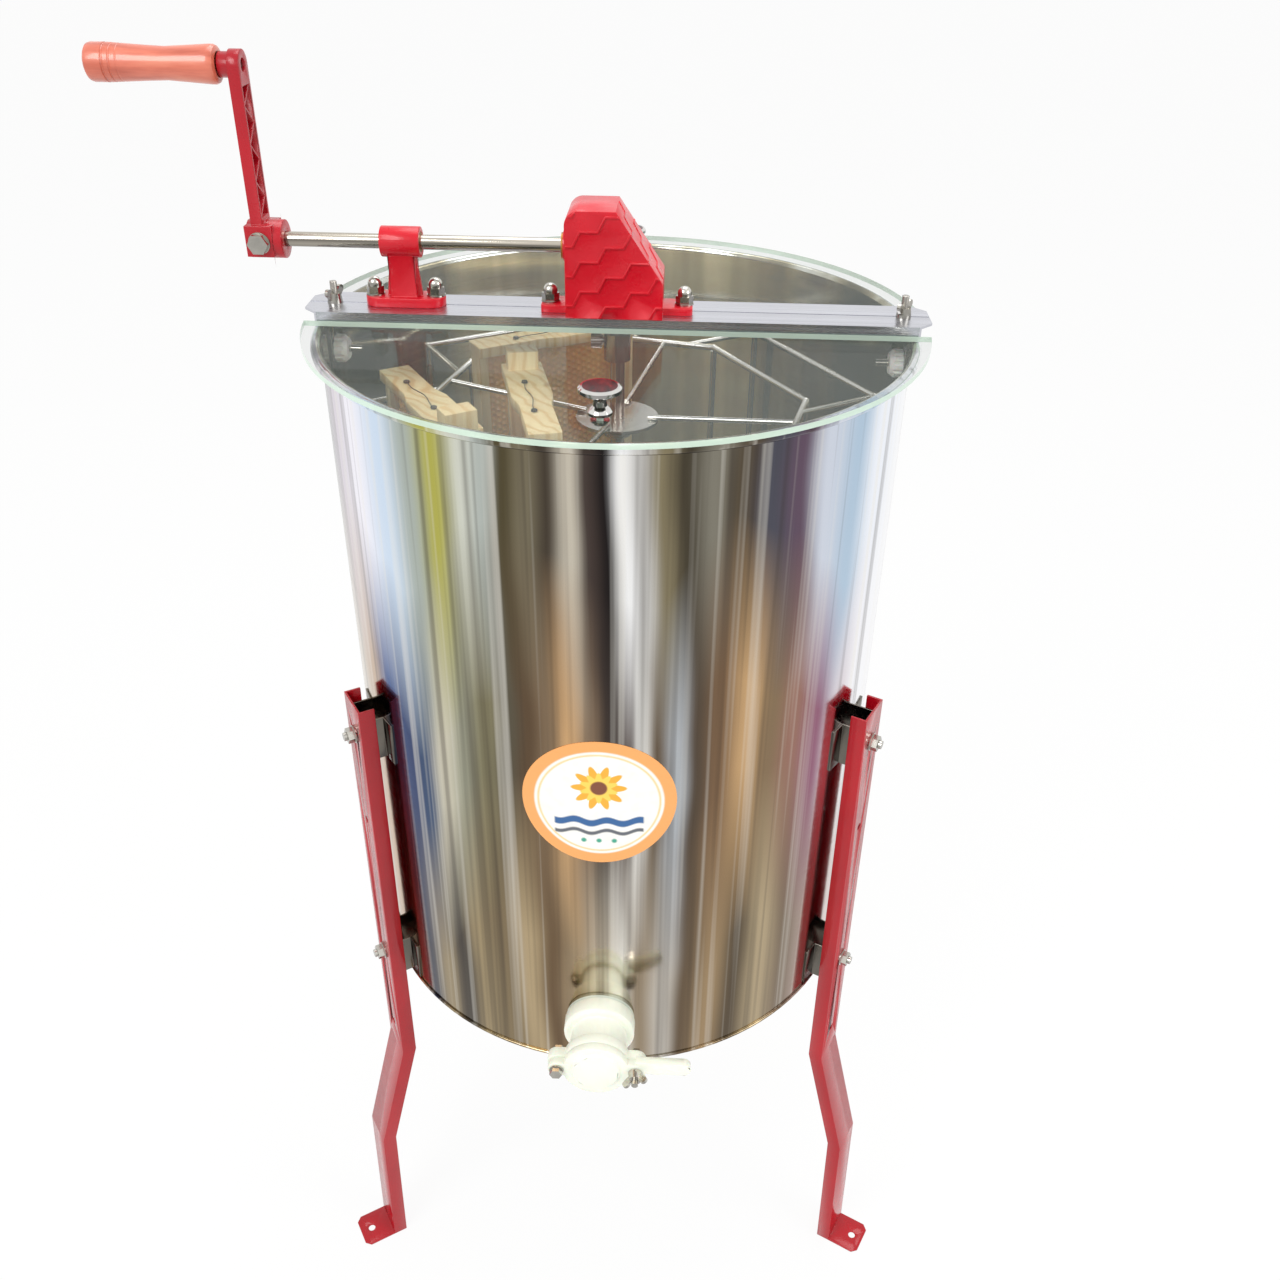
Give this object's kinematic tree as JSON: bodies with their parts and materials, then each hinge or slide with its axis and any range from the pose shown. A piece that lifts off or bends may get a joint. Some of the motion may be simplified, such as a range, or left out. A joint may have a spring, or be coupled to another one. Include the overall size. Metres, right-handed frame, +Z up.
{
  "type": "manual honey extractor",
  "caption": "Hand-cranked honey extractor: steel drum on splayed legs with a spinning frame basket, geared crank on a cross bar, clear half lids and a flap gate.",
  "frame": {"origin": "centre of the foot bolt circle, on the floor under the middle of the drum", "axes": "+Z up, -Y towards the honey gate, -X towards the crank, +X along the crank shaft"},
  "size_m": [0.7308, 0.6743, 1.286],
  "materials": {
    "steel": "polished stainless sheet",
    "rod_steel": "drawn stainless rod",
    "bar_metal": "satin aluminium sheet",
    "bright_zinc": "bright zinc plating",
    "gear_steel": "machined steel, oiled",
    "bronze": "sintered bronze",
    "red_paint": "gloss red powder coat",
    "red_plastic": "bright red enamel",
    "grip_plastic": "salmon coloured plastic",
    "white_plastic": "white nylon",
    "clear_plastic": "clear acrylic",
    "knob_inlay": "dark red gloss",
    "seal_rubber": "red rubber",
    "label": "plain printed film, no words",
    "pine": "planed pine",
    "wax": "beeswax foundation"
  },
  "bodies": {
    "drum": {"drum_wall": "steel", "drum_bottom": "steel", "pivot_cup": "steel", "pivot_bush": "bronze", "label_plate": "label", "leg_left": "red_paint", "leg_right": "red_paint", "leg_rear": "red_paint", "leg_bracket_left": "steel", "leg_bracket_right": "steel", "leg_bracket_rear": "steel", "leg_bolts": "bright_zinc", "leg_nuts": "bright_zinc", "cross_bar": "bar_metal", "clamp_bracket_left": "rod_steel", "clamp_bracket_right": "rod_steel", "wall_bolts": "bright_zinc", "wall_cap_nuts": "white_plastic", "gear_case": "red_plastic", "case_bush": "bronze", "bar_bush": "bronze", "pedestal": "red_plastic", "pedestal_bush": "bronze", "bar_bolts": "bright_zinc", "acorn_nuts": "bright_zinc", "gate_body": "white_plastic", "gate_seal": "seal_rubber", "gate_inner_nut": "white_plastic", "gate_pivot_bolt": "bright_zinc", "gate_clamp_bolt": "bright_zinc"},
    "basket": {"basket_shaft": "rod_steel", "drive_shaft": "rod_steel", "coupling_sleeve": "gear_steel", "bevel_pinion": "gear_steel", "basket_top": "rod_steel", "basket_posts": "rod_steel", "basket_bottom": "rod_steel", "hive_frame_front": "pine", "hive_frame_rear": "pine", "hive_frame_loose": "pine", "comb_front": "wax", "comb_rear": "wax", "comb_loose": "wax"},
    "thumb_screw": {"thumb_screw": "bright_zinc"},
    "crank": {"crank_shaft": "rod_steel", "bevel_gear": "gear_steel", "crank_arm": "red_paint", "crank_bolt": "bright_zinc", "grip_spindle": "rod_steel"},
    "grip": {"grip": "grip_plastic"},
    "front_lid": {"front_lid": "clear_plastic", "front_knob": "bright_zinc", "front_knob_cap": "knob_inlay"},
    "rear_lid": {"rear_lid": "clear_plastic", "rear_knob": "bright_zinc", "rear_knob_cap": "knob_inlay"},
    "gate_flap": {"gate_flap": "white_plastic"},
    "gate_wing_nut": {"gate_wing_nut": "bright_zinc"},
    "wing_nut_left": {"wing_nut_left": "bright_zinc"},
    "wing_nut_right": {"wing_nut_right": "bright_zinc"}
  },
  "joints": [
    {"name": "basket_spin", "type": "hinge", "parent": "drum", "child": "basket", "pos_m": [0, 0, 0.723], "axis": [0, 0, 1], "continuous": true},
    {"name": "crank_spin", "type": "hinge", "parent": "drum", "child": "crank", "pos_m": [-0.2, 0, 1.1385], "axis": [1, 0, 0], "continuous": true},
    {"name": "grip_spin", "type": "hinge", "parent": "crank", "child": "grip", "pos_m": [-0.36, 0, 1.2715], "axis": [1, 0, 0], "continuous": true},
    {"name": "front_lid_lift", "type": "slide", "parent": "drum", "child": "front_lid", "axis": [0, 0, 1], "range_m": [0, 0.3]},
    {"name": "rear_lid_lift", "type": "slide", "parent": "drum", "child": "rear_lid", "axis": [0, 0, 1], "range_m": [0, 0.3]},
    {"name": "gate_flap_swing", "type": "hinge", "parent": "drum", "child": "gate_flap", "pos_m": [-0.036, -0.306, 0.483], "axis": [0, -1, 0], "range_deg": [0, 90]},
    {"name": "gate_nut_turn", "type": "hinge", "parent": "drum", "child": "gate_wing_nut", "pos_m": [0.036, -0.314, 0.483], "axis": [0, -1, 0], "continuous": true},
    {"name": "left_wing_nut_turn", "type": "hinge", "parent": "drum", "child": "wing_nut_left", "pos_m": [-0.243, 0, 1.09], "axis": [0, 0, 1], "continuous": true},
    {"name": "right_wing_nut_turn", "type": "hinge", "parent": "drum", "child": "wing_nut_right", "pos_m": [0.243, 0, 1.09], "axis": [0, 0, 1], "continuous": true},
    {"name": "thumb_screw_turn", "type": "hinge", "parent": "basket", "child": "thumb_screw", "pos_m": [-0.02, 0, 1.0588], "axis": [1, 0, 0], "continuous": true}
  ],
  "couplings": [
    {"joint": "crank_spin", "follows": "basket_spin", "ratio": -0.5}
  ]
}
